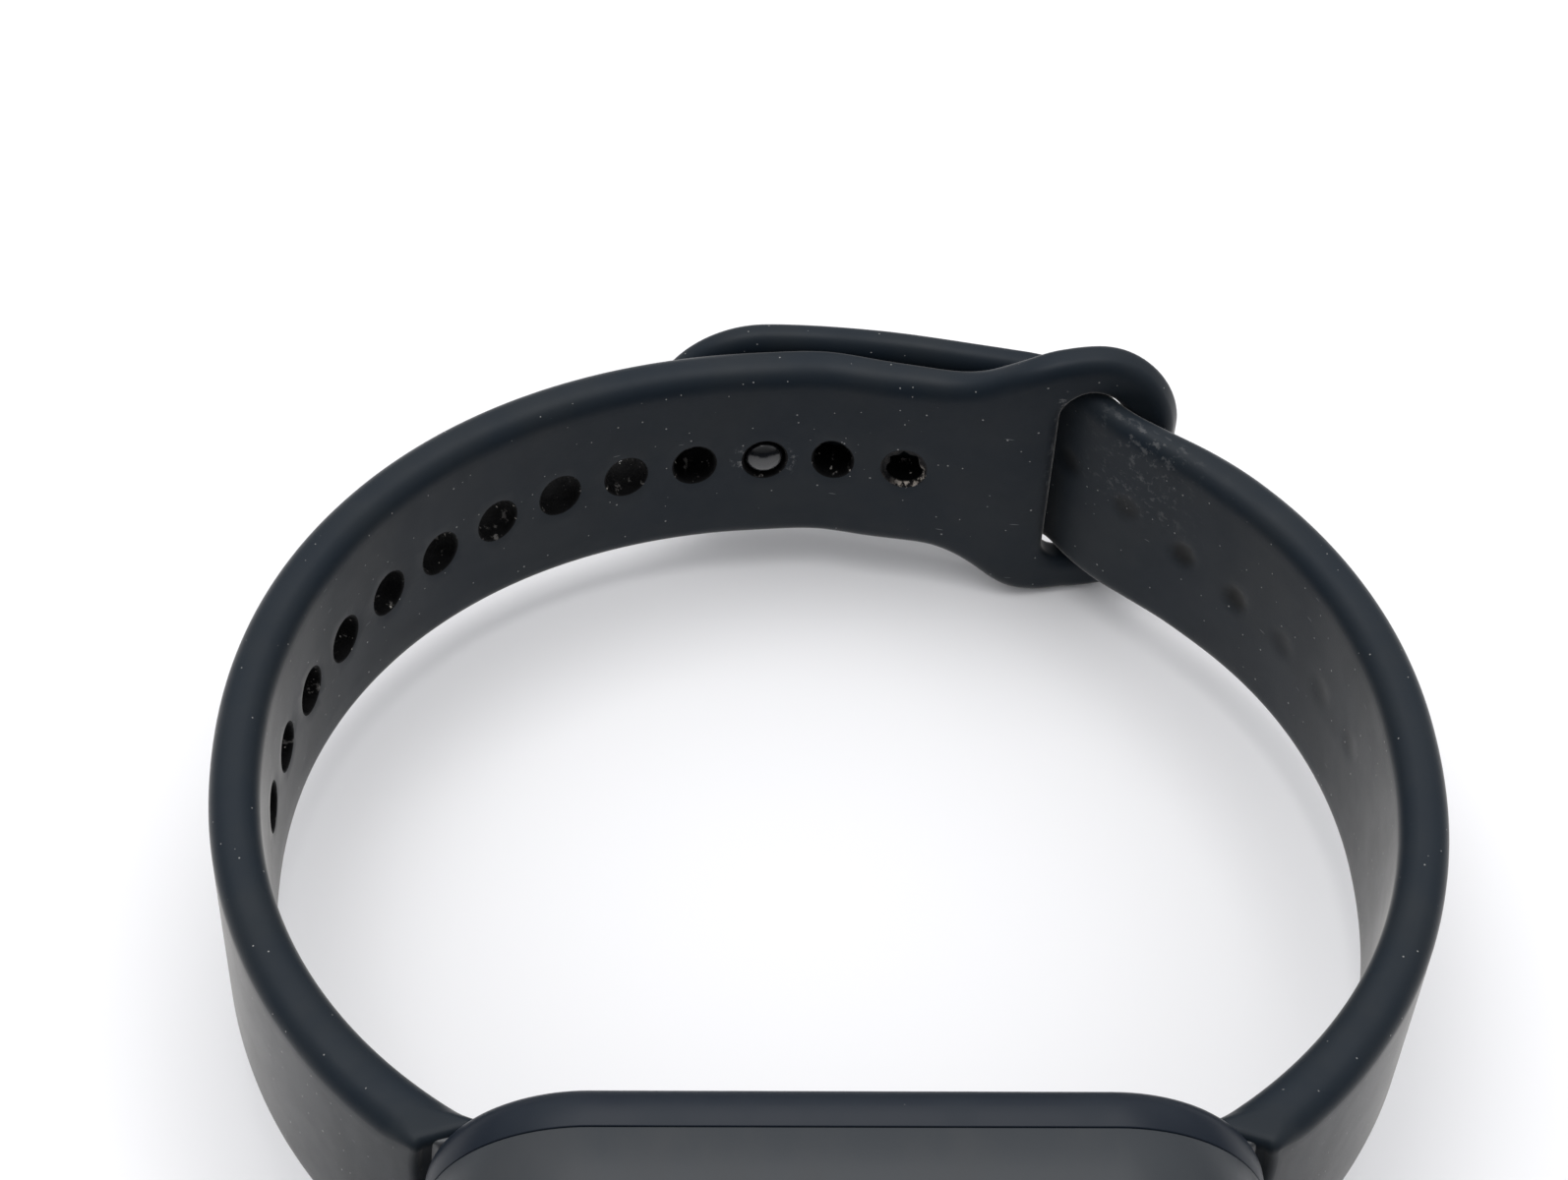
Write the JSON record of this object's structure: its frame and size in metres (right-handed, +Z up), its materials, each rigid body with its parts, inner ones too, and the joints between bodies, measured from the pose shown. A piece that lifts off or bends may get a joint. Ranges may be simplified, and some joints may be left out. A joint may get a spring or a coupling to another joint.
{
  "type": "fitness tracker band",
  "caption": "Closed wrist band with a slim tracker module, a perforated strap ending in a slotted loop, and a tail strap held through the loop by a stud.",
  "frame": {"origin": "centre of the bounding box's base: the closed band stands on its lower long edge", "axes": "+X along the screen's long side, +Y from the screen through the wrist opening to the clasp, +Z up across the band's width"},
  "size_m": [0.0682, 0.069, 0.026],
  "materials": {
    "strap_rubber": "matte, fine moulded grain",
    "case_plastic": "satin moulded plastic",
    "cover_plastic": "satin moulded plastic",
    "screen_glass": "polished",
    "sensor_lens": "polished, smoked",
    "seal_foam": "matte foam tape",
    "seal_rubber": "matte",
    "display_stack": "smooth",
    "flex_circuit": "satin film",
    "stamped_steel": "stamped",
    "circuit_board": "solder mask",
    "chip_package": "moulded",
    "cell_pouch": "foil pouch",
    "contact_metal": "plated",
    "rotor_metal": "sintered",
    "led_lens": "clear cast",
    "connector_plastic": "moulded",
    "stud_plastic": "polished"
  },
  "bodies": {
    "tracker": {"case_frame": "case_plastic", "rear_cover": "cover_plastic", "front_glass": "screen_glass", "glass_bond": "seal_foam", "rear_seal": "seal_rubber", "display_panel": "display_stack", "display_flex": "flex_circuit", "inner_bracket": "stamped_steel", "main_board": "circuit_board", "board_screw_1": "stamped_steel", "board_screw_2": "stamped_steel", "processor_chip": "chip_package", "power_chip": "chip_package", "motion_sensor_chip": "chip_package", "battery": "cell_pouch", "antenna": "contact_metal", "motor_cup": "stamped_steel", "motor_lid": "stamped_steel", "sensor_window": "sensor_lens", "light_baffle": "seal_foam", "sensor_board": "circuit_board", "photodiode": "chip_package", "led_left": "led_lens", "led_right": "led_lens", "charge_contact_left": "contact_metal", "charge_contact_right": "contact_metal"},
    "rotor": {"motor_rotor": "rotor_metal"},
    "band": {"hole_strap": "strap_rubber", "tail_strap": "strap_rubber", "left_connector": "connector_plastic", "right_connector": "connector_plastic"},
    "flap": {"tail_flap": "strap_rubber", "stud_pin": "stud_plastic", "stud_cap": "stud_plastic"}
  },
  "joints": [
    {"name": "strap_release", "type": "slide", "parent": "tracker", "child": "band", "axis": [0, 1, 0], "range_m": [0, 0.008]},
    {"name": "flap_peel", "type": "hinge", "parent": "band", "child": "flap", "pos_m": [0.0134, 0.0311, 0.013], "axis": [0, 0, -1], "range_deg": [0, 60]},
    {"name": "motor_spin", "type": "hinge", "parent": "tracker", "child": "rotor", "pos_m": [0.013, -0.0275, 0.0182], "axis": [0, 1, 0], "continuous": true}
  ]
}
